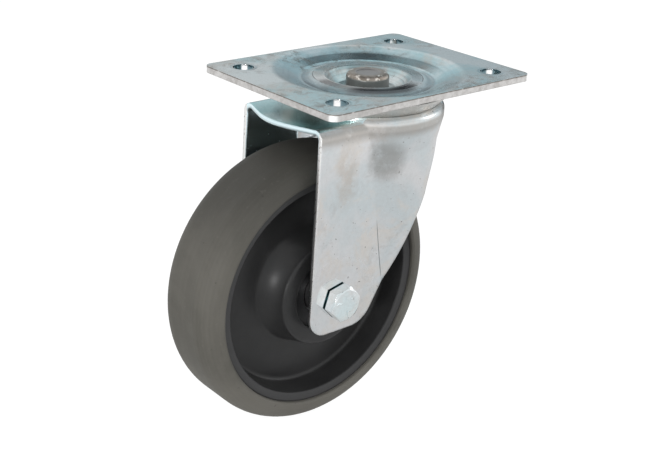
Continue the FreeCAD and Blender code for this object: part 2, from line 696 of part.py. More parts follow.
def make_axle_bolt():
    body = new_body("axle_bolt", AXLE)
    collar = "(size.fork_width / 2 + size.washer_face)"
    end = f"({NUT_SEAT} + size.nut_height + size.bolt_end)"
    root = "size.axle_diameter / 2 - size.thread_depth"
    turn(body, draw(body, "shank", "XY_Plane", [
        ("0", f"-{collar}"),
        ("size.washer_face_diameter / 2", f"-{collar}"),
        ("size.washer_face_diameter / 2", f"-{HALF_FORK}"),
        ("size.axle_diameter / 2", f"-{HALF_FORK}"),
        ("size.axle_diameter / 2", f"{end} - size.bolt_end - size.thread_hidden"),
        (root, f"{end} - size.bolt_end - size.thread_hidden"),
        (root, f"{end} - size.thread_chamfer"),
        (f"{root} - size.thread_chamfer", end),
        ("0", end),
    ]))
    head = draw(body, "head", "XZ_Plane", hexagon("size.bolt_flats", "size.bolt_turn"))
    pad(body, head, "size.bolt_head", start=collar)
    turn_away(body, draw(body, "corners", "XY_Plane",
                         corner_cut("size.bolt_flats", f"-({collar} + size.bolt_head)", "+")))
    return body


def make_ring(node, inner, outer, low, high):
    """A plain ring on the axle, between two places along Y."""
    body = new_body(node, AXLE)
    turn(body, draw(body, "section", "XY_Plane",
                    [(inner, low), (outer, low), (outer, high), (inner, high)]))
    return body


def make_axle_nut():
    body = new_body("axle_nut", AXLE)
    bore = "size.axle_diameter / 2 + size.fit"
    hexagon_top = f"({NUT_SEAT} + size.nut_height - size.nut_collar)"
    top = f"({NUT_SEAT} + size.nut_height)"
    block = draw(body, "hexagon", "XZ_Plane", hexagon("size.bolt_flats"), ("0", "0", bore))
    pad(body, block, "size.nut_height - size.nut_collar", start=f"-{hexagon_top}")
    turn_away(body, draw(body, "corners", "XY_Plane",
                         corner_cut("size.bolt_flats", hexagon_top, "-")))
    collar = "size.nut_collar_diameter / 2"
    seat = "size.axle_diameter / 2 + size.insert_wall + size.fit"
    turn(body, draw(body, "collar", "XY_Plane", [
        (seat, f"{hexagon_top} - size.nut_lip"),
        (collar, f"{hexagon_top} - size.nut_lip"),
        (collar, f"{top} - size.nut_collar_chamfer"),
        (f"{collar} - size.nut_collar_chamfer", top),
        (f"{bore} + size.nut_lip", top),
        (f"{bore} + size.nut_lip", f"{top} - size.nut_lip"),
        (seat, f"{top} - size.nut_lip"),
    ]))
    return body


def make_wheel_core():
    body = new_body("wheel_core", AXLE)
    web = "size.web_thickness / 2"
    hub_face, hub_edge = "size.hub_width / 2", "size.hub_diameter / 2"
    foot = f"({hub_edge} + size.hub_draft)"
    lip_edge = f"({RIM_RADIUS} - size.rim_lip)"
    inner_rim = f"({lip_edge} - size.rim_draft)"
    seat = "size.bearing_outer / 2 + size.fit"
    key = f"({RIM_RADIUS} - size.key_depth)"
    half = [
        ("size.ledge_bore / 2", BEARING_IN),
        (seat, BEARING_IN),
        (seat, hub_face),
        (f"{hub_edge} - size.hub_round", hub_face, "-size.hub_round"),
        (hub_edge, f"{hub_face} - size.hub_round"),
        (foot, f"{web} + size.web_fillet", "size.web_fillet"),
        (f"{foot} + size.web_fillet", web),
        (f"{inner_rim} - size.web_fillet", web, "size.web_fillet"),
        (inner_rim, f"{web} + size.web_fillet"),
        (lip_edge, "size.rim_width / 2 - size.rim_slant"),
        (RIM_RADIUS, "size.rim_width / 2"),
        (RIM_RADIUS, "size.key_width / 2 + size.key_slant"),
        (key, "size.key_width / 2"),
    ]
    turn(body, draw(body, "section", "XY_Plane", mirrored(half)))
    return body


def make_tyre():
    body = new_body("tyre", AXLE)
    side = "size.tyre_width / 2"
    flat = f"({side} - size.tyre_shoulder)"
    side_foot = f"{flat} + sqrt(size.tyre_shoulder ^ 2 - size.tyre_lip ^ 2)"
    half = [
        (f"{RIM_RADIUS} - size.key_depth", "size.key_width / 2"),
        (RIM_RADIUS, "size.key_width / 2 + size.key_slant"),
        (RIM_RADIUS, f"{side_foot} - size.tyre_lip", "-size.tyre_lip"),
        (f"{RIM_RADIUS} + size.tyre_lip", side_foot, "-size.tyre_shoulder"),
        (WHEEL_RADIUS, flat),
    ]
    turn(body, draw(body, "section", "XY_Plane", mirrored(half)))
    return body


def make_bearing(side, sign):
    """One deep-groove ball bearing: two rings, the balls and their cage."""
    low, high = f"{sign}{BEARING_IN}", f"{sign}{BEARING_OUT}"
    middle = f"{sign}({BEARING_IN} + size.bearing_width / 2)"
    groove = ("size.bearing_circle / 2", middle, "size.bearing_ball / 2 + size.bearing_play")
    outer = make_ring(f"outer_ring_{side}", "size.outer_shoulder / 2", "size.bearing_outer / 2",
                      low, high)
    turn_away(outer, draw(outer, "race", "XY_Plane", groove))
    inner = make_ring(f"inner_ring_{side}", "size.tube_diameter / 2 + size.fit",
                      "size.inner_shoulder / 2", low, high)
    turn_away(inner, draw(inner, "race", "XY_Plane", groove))
    balls = make_balls(f"bearing_balls_{side}", AXLE, "y", "size.bearing_ball",
                       "size.bearing_circle", middle, "size.bearing_ball_count")
    cage = make_ring(
        f"ball_cage_{side}", "size.bearing_circle / 2 - size.cage_wall / 2",
        "size.bearing_circle / 2 + size.cage_wall / 2",
        f"{middle} - size.cage_width / 2", f"{middle} + size.cage_width / 2")
    hole = draw(cage, "ball", "YZ_Plane",
                (middle, "0", "size.bearing_ball / 2 + size.bearing_play"))
    pocket = cut_down(cage, hole, "size.bearing_outer / 2", backwards=True)
    repeat_round(cage, pocket, "Y_Axis", "size.bearing_ball_count")
    return [outer, inner, balls, cage]


def make_sides():
    """The bearing, the bush beside it and the dust cap, once on each side of the wheel."""
    bodies = []
    for side, sign in (("left", ""), ("right", "-")):
        bodies += make_bearing(side, sign)
        bodies.append(make_ring(
            f"axle_bush_{side}", "size.tube_diameter / 2 + size.fit", "size.bush_diameter / 2",
            f"{sign}{BEARING_OUT}", f"{sign}({HALF_FORK} - size.fork_sheet)"))
        bodies.append(make_ring(
            f"dust_cap_{side}", "size.bush_diameter / 2 + size.cap_gap", "size.bearing_outer / 2",
            f"{sign}{BEARING_OUT}", f"{sign}({BEARING_OUT} + size.cap_thickness)"))
    return bodies


def make_axle_parts():
    inside = f"({HALF_FORK} - size.fork_sheet)"
    bolt_hole = "size.axle_diameter / 2 + size.axle_play"
    insert_top = f"({NUT_SEAT} + size.nut_height - size.nut_lip)"
    tube = make_ring("axle_tube", bolt_hole, "size.tube_diameter / 2", f"-{inside}", inside)
    spacer = make_ring("bearing_spacer", "size.tube_diameter / 2 + size.fit",
                       "size.bush_diameter / 2", f"-{BEARING_IN}", BEARING_IN)
    washer = make_ring("nut_washer", bolt_hole, "size.washer_diameter / 2", HALF_FORK, NUT_SEAT)
    insert = make_ring("nut_insert", "size.axle_diameter / 2 + size.fit",
                       "size.axle_diameter / 2 + size.insert_wall",
                       f"{NUT_SEAT} + size.nut_height - size.nut_collar", insert_top)
    return [tube, spacer, washer, insert, make_axle_bolt(), make_axle_nut()]


def main():
    bodies = [
        make_top_plate(), make_kingpin(), make_kingpin_nut(), make_swivel_cup(),
        make_lower_race(), make_fork(), make_wheel_core(), make_tyre(),
    ]
    bodies += make_swivel_balls() + make_axle_parts() + make_sides()
    doc.recompute()
    for item in doc.Objects:
        if "Invalid" in item.State or "Error" in item.State:
            raise ValueError(f"{item.Name} did not compute")
    for body in bodies:
        if body.Shape.isNull() or not body.Shape.isValid():
            raise ValueError(f"{body.Label} has no sound shape")
    for body in bodies:
        body.Shape.exportStep(f"parts/{body.Label}.step")
        print(f"{body.Label}: {len(body.Shape.Solids)} solid, {body.Shape.Volume / 1000:.1f} cm3")


main()
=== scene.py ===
# %% [markdown]
# # A swivel castor, dressed for its portrait
#
# The castor is a pressed steel plate with a ball race under it, a pressed fork that swings round
# the race, and a wheel with a grey rubber tyre on a black moulded core. The CAD model already
# holds every piece at its real size. This lesson gives each piece the finish of the real one,
# adds the fine forms that only the eye needs, and sets up the studio round it.
#
# The first cell loads the CAD model. Every length from here on is in metres.

# %% Load the castor
import math

import bpy
from mathutils import Matrix, Vector


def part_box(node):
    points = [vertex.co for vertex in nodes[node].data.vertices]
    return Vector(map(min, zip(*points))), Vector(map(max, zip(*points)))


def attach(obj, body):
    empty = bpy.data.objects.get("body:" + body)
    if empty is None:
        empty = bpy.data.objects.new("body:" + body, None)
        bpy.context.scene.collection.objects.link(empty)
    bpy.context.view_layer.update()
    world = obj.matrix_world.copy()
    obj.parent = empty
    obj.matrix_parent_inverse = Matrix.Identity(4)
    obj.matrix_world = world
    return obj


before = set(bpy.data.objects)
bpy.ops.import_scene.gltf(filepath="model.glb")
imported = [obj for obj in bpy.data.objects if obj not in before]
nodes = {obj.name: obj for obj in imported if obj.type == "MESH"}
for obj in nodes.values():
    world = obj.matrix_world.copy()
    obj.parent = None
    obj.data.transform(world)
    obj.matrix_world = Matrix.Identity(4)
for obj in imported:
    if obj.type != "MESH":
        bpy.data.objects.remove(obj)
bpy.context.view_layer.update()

MM = 0.001

# %% [markdown]
# ## Where things are
#
# The main places are read from the CAD model. The finishes also use fixed radii and heights of
# this castor, such as those of its pressed ring, so they need care if a size changes. The swivel
# axis is the Z axis, and the axle runs along Y through the middle of the wheel.

# %% Main places
low_tyre, high_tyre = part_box("tyre")
axle = Vector(((low_tyre[0] + high_tyre[0]) / 2, 0.0, (low_tyre[2] + high_tyre[2]) / 2))
wheel_radius = (high_tyre[2] - low_tyre[2]) / 2
floor_height = low_tyre[2]
leg_face = -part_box("nut_washer")[0][1]
print("axle:", [round(v, 4) for v in axle], "wheel radius:", round(wheel_radius, 4),
      "face of the right leg:", round(leg_face, 4))

# %% [markdown]
# ## Writing shader maths as plain expressions
#
# A finish is a small sum: a base value, plus a little noise, times a mask. Wiring Math nodes by
# hand hides that sum, so one small class wraps an output socket and lets Python's own operators
# add the nodes. `1 - mask` works as well as `mask * 0.5`, because the reflected forms are there.

# %% The wire: a socket that can be added and multiplied
class Wire:
    """An output socket of a node tree. Arithmetic on it adds Math nodes."""

    def __init__(self, tree, socket):
        self.tree = tree
        self.socket = socket

    def maths(self, operation, *values, clamp=False):
        node = self.tree.nodes.new("ShaderNodeMath")
        node.operation = operation
        node.use_clamp = clamp
        for socket, value in zip(node.inputs, values):
            plug(self.tree, socket, value)
        return Wire(self.tree, node.outputs[0])

    def __add__(self, other):
        return self.maths("ADD", self, other)

    def __radd__(self, other):
        return self.maths("ADD", other, self)

    def __sub__(self, other):
        return self.maths("SUBTRACT", self, other)

    def __rsub__(self, other):
        return self.maths("SUBTRACT", other, self)

    def __mul__(self, other):
        return self.maths("MULTIPLY", self, other)

    def __rmul__(self, other):
        return self.maths("MULTIPLY", other, self)

    def __truediv__(self, other):
        return self.maths("DIVIDE", self, other)

    def __rtruediv__(self, other):
        return self.maths("DIVIDE", other, self)

    def __pow__(self, other):
        return self.maths("POWER", self, other)

    def __abs__(self):
        return self.maths("ABSOLUTE", self)

    def clamped(self):
        return self.maths("ADD", self, 0.0, clamp=True)


def plug(tree, socket, value):
    """Give an input socket a link or a plain value."""
    if isinstance(value, Wire):
        tree.links.new(value.socket, socket)
    elif isinstance(value, (tuple, list)) and len(value) == 3 and len(socket.default_value) == 4:
        socket.default_value = (*value, 1.0)
    else:
        socket.default_value = value


print("maths on wires is ready")

# %% [markdown]
# ## A tree to grow finishes in
#
# Every other node comes from one method. It takes the node's type, its settings, which are set
# first because they can change the sockets, and then the values or links of its sockets. The
# shorter methods below it are the few patterns that every finish on this castor uses.

# %% The tree
class Tree:
    """A node tree of a material, of the world or of Geometry Nodes."""

    def __init__(self, node_tree, prefix="ShaderNode"):
        self.tree = node_tree
        self.prefix = prefix
        self.tree.nodes.clear()

    def node(self, kind, settings=None, sockets=None, out=0):
        node = self.tree.nodes.new(kind if "Node" in kind else self.prefix + kind)
        for name, value in (settings or {}).items():
            if name == "stops":
                self.set_stops(node.color_ramp, value)
            else:
                setattr(node, name, value)
        for name, value in (sockets or {}).items():
            plug(self.tree, node.inputs[name], value)
        return Wire(self.tree, node.outputs[out])

    def set_stops(self, ramp, stops):
        while len(ramp.elements) < len(stops):
            ramp.elements.new(1.0)
        for element, (place, colour) in zip(ramp.elements, stops):
            element.position = place
            element.color = (*colour, 1.0)

    def place(self, scale=(1, 1, 1), origin=(0, 0, 0)):
        """Object coordinates, shifted so that origin is at zero, then scaled."""
        shift = tuple(-o * s for o, s in zip(origin, scale))
        return self.node("Mapping", {}, {
            "Vector": self.node("TexCoord", out="Object"), "Location": shift, "Scale": scale})

    def apart(self, vector):
        """The three numbers of a vector."""
        node = self.node("SeparateXYZ", {}, {"Vector": vector}).socket.node
        return [Wire(self.tree, socket) for socket in node.outputs]

    def facing(self):
        """The three numbers of the surface's own direction, which turns with the piece."""
        return self.apart(self.node("TexCoord", out="Normal"))

    def around(self, origin=(0, 0, 0), along=2):
        """The distance from an axis through origin, and the place along it."""
        parts = self.apart(self.place(origin=origin))
        across = [part for index, part in enumerate(parts) if index != along]
        return (across[0] * across[0] + across[1] * across[1]) ** 0.5, parts[along]

    def noise(self, scale, detail=4.0, roughness=0.55, distortion=0.0, vector=None, shift=0.0):
        """Noise on the piece; shift picks another part of the same pattern."""
        return self.node("TexNoise", {}, {
            "Vector": vector or self.place(origin=(shift, shift, shift)), "Scale": scale,
            "Detail": detail, "Roughness": roughness, "Distortion": distortion})

    def lathe(self, radius, height, scale, detail=3.0):
        """Noise in fine rings round an axis."""
        vector = self.node("CombineXYZ", {}, {"X": radius, "Y": height})
        return self.noise(scale, detail=detail, roughness=0.6, vector=vector)

    def band(self, value, low, high):
        """0 below low, 1 above high, smooth between. Swap them for the reverse."""
        if low > high:
            return 1.0 - self.band(value, high, low)
        settings = {"interpolation_type": "SMOOTHSTEP"}
        return self.node("MapRange", settings, {"Value": value, 1: low, 2: high})

    def near(self, value, place, width):
        """1 where a value is at a place, falling to 0 at a width from it."""
        return self.band(abs(value - place), width, width * 0.4)

    def spot(self, centre, reach):
        """1 at the centre of an oval spot, 0 at its rim. A reach of 1.0 m leaves that way out."""
        square = 0.0
        for part, middle, half in zip(self.apart(self.place()), centre, reach):
            square = square + ((part - middle) / half) ** 2.0
        return self.band(square, 1.0, 0.1)

    def blend(self, factor, first, second, way="MIX"):
        """Mix two colours, where the factor goes from the first to the second."""
        settings = {"data_type": "RGBA", "blend_type": way}
        return self.node("Mix", settings, {0: factor, 6: first, 7: second}, out=2)

    def ramp(self, factor, *stops):
        return self.node("ValToRGB", {"stops": stops}, {"Fac": factor})

    def bump(self, height, strength, distance, normal=None):
        sockets = {"Height": height, "Strength": strength, "Distance": distance}
        if normal:
            sockets["Normal"] = normal
        return self.node("Bump", {}, sockets)

    def soft_edges(self, radius):
        """A normal that rounds crisp edges by a small radius."""
        return self.node("Bevel", {"samples": 6}, {"Radius": radius})


print("trees are ready")

# %% [markdown]
# ## From a tree to a finish
#
# A finish has constants, such as being metal, and a few things that vary over the surface. The
# constants go on the surface shader's own sockets. `feed` links the rest, and `wear` puts the
# finish on the CAD model's nodes, whose shapes stay as they are.

# %% Finishes
def new_finish(name, **constants):
    """A material's tree, with constants set on the surface shader's own sockets."""
    material = bpy.data.materials.new(name)
    material.use_nodes = True
    tree = Tree(material.node_tree)
    sockets = {key.replace("_", " "): value for key, value in constants.items()}
    tree.surface = tree.node("BsdfPrincipled", {}, sockets)
    out = tree.tree.nodes.new("ShaderNodeOutputMaterial")
    tree.tree.links.new(tree.surface.socket, out.inputs["Surface"])
    tree.material = material
    return tree


def feed(tree, **wires):
    """Link what varies over the surface to the surface shader."""
    names = {"color": "Base Color", "roughness": "Roughness", "metallic": "Metallic",
             "normal": "Normal"}
    for name, wire in wires.items():
        plug(tree.tree, tree.surface.socket.node.inputs[names[name]], wire)
    return tree.material


def wear(material, *names):
    """Put a finish on CAD nodes."""
    for name in names:
        node = nodes[name]
        node.data.materials.clear()
        node.data.materials.append(material)
    print(material.name, "on", ", ".join(names))


print("finishes are ready")

# %% [markdown]
# ## The camera
#
# The camera stands where the photographer stood: to the right of the trailing wheel, a little
# above the plate, turned slightly on its own axis. The lens is a little longer than a normal
# one. The angles were found by fitting the plate, its holes and the wheel's outline.

# %% Camera
view_azimuth = math.radians(-40.39)
view_elevation = math.radians(22.74)
view_roll = math.radians(2.32)
view_distance = 0.6245
view_centre = Vector((-0.02502, 0.0, -0.08183))

camera_turn = (Matrix.Rotation(view_azimuth, 4, "Z")
               @ Matrix.Rotation(math.pi / 2 - view_elevation, 4, "X")
               @ Matrix.Rotation(view_roll, 4, "Z"))
camera_data = bpy.data.cameras.new("camera")
camera_data.lens = 64.84
camera_data.sensor_width = 36.0
camera = bpy.data.objects.new("camera", camera_data)
bpy.context.collection.objects.link(camera)
back = camera_turn.to_3x3() @ Vector((0, 0, 1))
camera.matrix_world = Matrix.Translation(view_centre + back * view_distance) @ camera_turn
bpy.context.scene.camera = camera
bpy.context.scene.view_settings.view_transform = "Standard"
print("camera at", [round(v, 4) for v in camera.location])

# %% [markdown]
# ## Floor
#
# The castor stands on a wide sheet of white paper. To the camera the paper is lifted to white,
# but it keeps a share of its own shading, so the soft shadow under the wheel stays. Polished
# metal sees the paper too. Its mirror image is brightest far out, except on the side away from
# the camera, where the paper ends and turns dark.

# %% Floor
def behind(tree, x, y):
    """1 in the directions that lead away from the camera, 0 elsewhere."""
    bearing = x.maths("ARCTAN2", y, x)
    return tree.band(bearing, -0.1, 0.3) * tree.band(bearing, 1.6, 1.2)


def make_floor():
    reach = 6.0
    mesh = bpy.data.meshes.new("floor")
    corners = [(-reach, -reach), (reach, -reach), (reach, reach), (-reach, reach)]
    mesh.from_pydata([(x, y, floor_height) for x, y in corners], [], [(0, 1, 2, 3)])
    floor = bpy.data.objects.new("floor", mesh)
    bpy.context.collection.objects.link(floor)
    material = bpy.data.materials.new("paper_floor")
    material.use_nodes = True
    tree = Tree(material.node_tree)
    path = tree.node("LightPath").socket.node
    seen = Wire(tree.tree, path.outputs["Is Camera Ray"])
    mirrored = Wire(tree.tree, path.outputs["Is Glossy Ray"])
    distance = tree.around()[0]
    x, y = tree.apart(tree.place())[:2]
    paper_end = mirrored * tree.band(distance, 0.40, 0.70) * behind(tree, x, y)
    color = tree.blend(paper_end, (0.86, 0.86, 0.86), (0.14, 0.135, 0.13))
    paper = tree.node("BsdfDiffuse", {}, {"Color": color})
    white = tree.node("Emission", {}, {"Color": (1.0, 1.0, 1.0), "Strength": 1.25})
    sweep = tree.band(distance, 0.42, 0.65) * 0.5
    share = (seen * 0.76 + mirrored * (1.0 - paper_end) * (sweep + 0.30)).clamped()
    mixed = tree.node("MixShader", {}, {0: share, 1: paper, 2: white})
    out = tree.tree.nodes.new("ShaderNodeOutputMaterial")
    tree.tree.links.new(mixed.socket, out.inputs["Surface"])
    mesh.materials.append(material)


make_floor()
print("floor at", round(floor_height, 4))

# %% [markdown]
# ## The room
#
# Bright zinc has hardly any colour of its own: it shows the room. So mirrors see a plain studio
# in bands of height: grey-brown at the foot, then pale blue-grey, white, and a grey ceiling. The
# low bands are white except on the side away from the camera. There, the wall on the right is
# bluer and darker, the one on the left is duller high up, and between them stands a dark panel
# with a window in it. The panel draws the black crescents on the pressed plate. It is set for the
# photo's view, so from other sides the crescents lie elsewhere.
#
# The camera sees pure white, and rough surfaces get one even light that fades upwards, so that
# the bands don't colour them.

# %% World
def make_room():
    world = bpy.data.worlds.new("studio")
    bpy.context.scene.world = world
    world.use_nodes = True
    tree = Tree(world.node_tree)
    x, y, height = tree.apart(tree.node("TexCoord", out="Generated"))
    walls = tree.ramp(
        height * 0.5 + 0.5,
        (0.50, (0.30, 0.27, 0.25)), (0.57, (0.50, 0.54, 0.56)), (0.63, (0.60, 0.67, 0.69)),
        (0.70, (0.90, 0.93, 0.94)), (0.75, (1.0, 1.0, 1.0)), (0.90, (1.0, 1.0, 1.0)),
        (0.95, (0.45, 0.45, 0.46)))
    back = behind(tree, x, y)
    front = (1.0 - back) * tree.band(height, 0.42, 0.05)
    walls = tree.blend(front, walls, (1.0, 1.0, 1.0))
    bearing = x.maths("ARCTAN2", y, x)
    walls = tree.blend(back * tree.band(bearing, 1.0, 0.72), walls, (0.74, 0.79, 0.82), "MULTIPLY")
    high = back * tree.band(bearing, 1.0, 1.2) * tree.band(height, 0.60, 0.75)
    walls = tree.blend(high, walls, (0.66, 0.69, 0.71), "MULTIPLY")
    window = tree.band(bearing, 0.50, 0.60) * tree.band(bearing, 1.20, 1.05)
    window = window * tree.band(height, 0.83, 0.77)
    gap = tree.band(bearing, 0.05, 0.25) * tree.band(bearing, 1.36, 1.16) * (1.0 - window)
    gap = gap * tree.band(height, 0.42, 0.50) * tree.band(height, 0.95, 0.90)
    walls = tree.blend(gap, walls, (0.02, 0.022, 0.028))
    path = tree.node("LightPath").socket.node
    seen = Wire(tree.tree, path.outputs["Is Camera Ray"])
    mirrored = Wire(tree.tree, path.outputs["Is Glossy Ray"])
    even = tree.blend(tree.band(height, 0.15, 0.80), (1.12, 1.12, 1.12), (0.36, 0.365, 0.37))
    shown = tree.blend(seen, tree.blend(mirrored, even, walls), (1.0, 1.0, 1.0))
    light = tree.node("Background", {}, {"Color": shown, "Strength": 1.0})
    out = tree.tree.nodes.new("ShaderNodeOutputWorld")
    tree.tree.links.new(light.socket, out.inputs["Surface"])


make_room()
print("room made")

# %% [markdown]
# ## Lamps
#
# Two soft lamps shape the castor. The key lamp is small and stands low on the left, where it
# draws the highlight on the hub. The side lamp is larger and weaker and fills in from the right.

# %% Lamps
def make_lamp(name, place, aim, width, power):
    data = bpy.data.lights.new(name, "AREA")
    data.shape = "SQUARE"
    data.size = width
    data.energy = power
    lamp = bpy.data.objects.new(name, data)
    bpy.context.collection.objects.link(lamp)
    turn = (Vector(aim) - Vector(place)).to_track_quat("-Z", "Y")
    lamp.matrix_world = Matrix.Translation(place) @ turn.to_matrix().to_4x4()
    return lamp


lamps = [
    make_lamp("key_lamp", (-0.82, -0.46, 0.06), view_centre, 0.13, 1.7),
    make_lamp("side_lamp", (0.75, -0.35, 0.25), view_centre, 0.4, 1.0),
]
print("lamps:", [lamp.name for lamp in lamps])

# %% [markdown]
# ## Zinc
#
# Electroplated zinc is a thin bright coat with a clear passivation over it. The passivation is
# never even: it drifts between blue and straw. Handling leaves grey-brown scuffs, which are fine
# and broken, and small dark specks stay where the bath did not reach. Every zinc piece starts
# from this skin, and the plate and the fork then add what only they have.

# %% Zinc skin
def zinc_skin(tree, clean, cool, warm, soil, shift=0.0):
    """The colour, the soil and the fine grain that every zinc finish starts from."""
    drift = tree.noise(26.0, detail=5.0, distortion=0.6, shift=shift)
    straw = tree.noise(44.0, detail=7.0, roughness=0.7, distortion=0.4, shift=shift + 0.7)
    grain = tree.noise(520.0, detail=6.0, roughness=0.7, shift=shift)
    color = tree.blend(tree.band(drift, 0.40, 0.60), cool, clean)
    color = tree.blend(tree.band(straw, 0.47, 0.66) * 0.85, color, warm)
    patch = tree.band(tree.noise(30.0, detail=3.0, shift=shift + 1.3), 0.53 - soil * 0.14, 0.62)
    broken = tree.band(tree.noise(170.0, detail=9.0, roughness=0.78, distortion=0.5), 0.46, 0.62)
    scuffs = patch * broken * soil
    color = tree.blend(scuffs, color, (0.25, 0.22, 0.195))
    speck = tree.band(tree.noise(640.0, detail=1.0, shift=shift + 2.1), 0.735, 0.78)
    color = tree.blend(speck * 0.75, color, (0.13, 0.12, 0.11))
    color = tree.blend(tree.band(grain, 0.35, 0.75) * 0.16, color, (0.40, 0.38, 0.36))
    return color, scuffs + speck * 0.5, grain


print("zinc skin is ready")

# %% [markdown]
# ## The mounting plate
#
# The plate was pressed cold, so its centre carries marks of the tool: fine rings in the recess. A
# dark line is painted as shade along the crisp crease of the ring. Its sheared sides are paler and
# duller than its faces, with a dark burr along the top. Each bolt hole has a rubbed ring round it.
#
# Some light and shade is painted on, and it stays put from every side: painted shade on the walls
# of the bolt holes with a bright glint in each, the white corners, painted shade on the ridge away
# from the near side and in the valley of the ring, and a dark arc on the near side of the ring as a
# painted reflection. A bump also makes the pressed ring mirror like one with steeper flanks than
# the CAD model's.

# %% Plate finish
def make_plate_zinc():
    tree = new_finish("zinc_plate", Metallic=1.0)
    color, soil, grain = zinc_skin(tree, (0.70, 0.715, 0.715), (0.47, 0.62, 0.645),
                                   (0.58, 0.545, 0.515), 0.74)
    ring_low, ring_middle, ring_high = 22.6 * MM, 28.8 * MM, 34.5 * MM
    hole_x, hole_y, hole_radius = 52.5 * MM, 37.5 * MM, 5.5 * MM
    radius = tree.around()[0]
    x, y, z = tree.apart(tree.place())
    n_x, n_y, n_z = tree.facing()
    pressed = tree.lathe(radius, 0.0, 900.0)
    inside = tree.band(radius, 24.0 * MM, 22.0 * MM)
    broken = tree.band(tree.noise(90.0, detail=5.0, shift=3.0), 0.35, 0.62)
    rings = inside * tree.band(pressed, 0.46, 0.60) * (0.35 + broken * 0.65)
    color = tree.blend(rings * 0.75, color, (0.25, 0.24, 0.235))
    arcs = tree.band(tree.lathe(radius, 0.0, 260.0, detail=1.0), 0.46, 0.58) * inside
    sector = tree.band(tree.noise(42.0, detail=2.0, shift=9.0), 0.42, 0.56)
    color = tree.blend(arcs * sector * 0.6, color, (0.26, 0.40, 0.43))
    # Painted shade: a dark line along the crisp crease of the ring.
    ring_crease_shade = tree.near(radius, ring_middle, 0.4 * MM) * broken
    color = tree.blend(ring_crease_shade * 0.8, color, (0.10, 0.11, 0.12))
    flank = tree.band(radius, 28.0 * MM, 33.0 * MM) * tree.band(radius, 51.0 * MM, 47.0 * MM)
    color = tree.blend(flank * 0.8, color, (0.68, 0.84, 0.89), "MULTIPLY")
    # The near side is a fixed side of the plate, the one towards the camera. Away from it the ridge is
    # painted darker, as shade; on it a dark arc is painted, as a dark reflection.
    ridge = tree.near(radius, 25.6 * MM, 3.4 * MM)
    low_side = tree.band((x * -0.41 + y * -0.91) / radius, 0.66, 0.93)
    color = tree.blend(ridge * (1.0 - low_side) * 0.5, color, (0.70, 0.72, 0.73), "MULTIPLY")
    near_arc = tree.near(radius, 28.0 * MM, 4.6 * MM) * low_side
    color = tree.blend(near_arc * 0.95, color, (0.10, 0.11, 0.12))
    # Painted shade in the valley of the ring.
    valley_shade = tree.near(radius, 33.0 * MM, 3.0 * MM) * tree.band(broken, 0.1, 0.9)
    color = tree.blend(valley_shade * 0.45, color, (0.20, 0.20, 0.21))
    drawn = flank * tree.band(tree.lathe(radius, 0.0, 420.0), 0.50, 0.62)
    color = tree.blend(drawn * 0.30, color, (0.30, 0.42, 0.46))
    hole = ((abs(x) - hole_x) ** 2.0 + (abs(y) - hole_y) ** 2.0) ** 0.5
    rubbed = tree.near(hole, 6.6 * MM, 0.8 * MM) * broken
    color = tree.blend(rubbed * 0.6, color, (0.16, 0.27, 0.31))
    # The walls of the bolt holes are painted dark, as shade in the holes, with a painted glint on the
    # side of each that faces the camera's way.
    bore = tree.band(hole, hole_radius + 0.2 * MM, hole_radius)
    lit = tree.band(n_x * -0.65 + n_y * -0.76, 0.93, 0.99)
    color = tree.blend(bore, color, tree.blend(lit, (0.16, 0.24, 0.27), (0.97, 0.97, 0.97)))
    side = tree.band(abs(n_z), 0.6, 0.3) * (1.0 - bore) * tree.band(radius, 45.0 * MM, 50.0 * MM)
    sheared = tree.noise(230.0, detail=7.0, roughness=0.75, shift=5.0)
    pale = tree.blend(tree.band(sheared, 0.36, 0.66), (0.66, 0.65, 0.64), (0.48, 0.465, 0.45))
    color = tree.blend(side, color, pale)
    # Painted highlight: the corners of the sheared sides are white.
    corner = side * tree.band(abs(x), 63.5 * MM, 65.0 * MM) * tree.band(abs(y), 48.5 * MM, 50.0 * MM)
    color = tree.blend(corner, color, (0.97, 0.97, 0.96))
    color = tree.blend(tree.band(n_z, -0.5, -0.9), color, (0.82, 0.85, 0.86))
    burr = side * tree.band(z, -0.70 * MM, -0.35 * MM) * tree.band(sheared, 0.30, 0.50)
    color = tree.blend(burr * 0.85, color, (0.12, 0.105, 0.09))
    rough = 0.15 + grain * 0.10 + soil * 0.22 + side * 0.18 + inside * 0.14 - bore * 0.08
    groove = radius.maths("MINIMUM", (radius - ring_low) / 6.2, (ring_high - radius) / 5.7)
    groove = groove.maths("MAXIMUM", groove, 0.0)
    hammered = tree.bump(groove * -2.2, 1.0, 1.0, tree.soft_edges(0.4 * MM))
    relief = grain * (0.5 + side * 1.5) + pressed * inside * 1.2
    normal = tree.bump(relief, 0.10, 0.2 * MM, hammered)
    return feed(tree, color=color, roughness=rough, normal=normal)


wear(make_plate_zinc(), "top_plate")
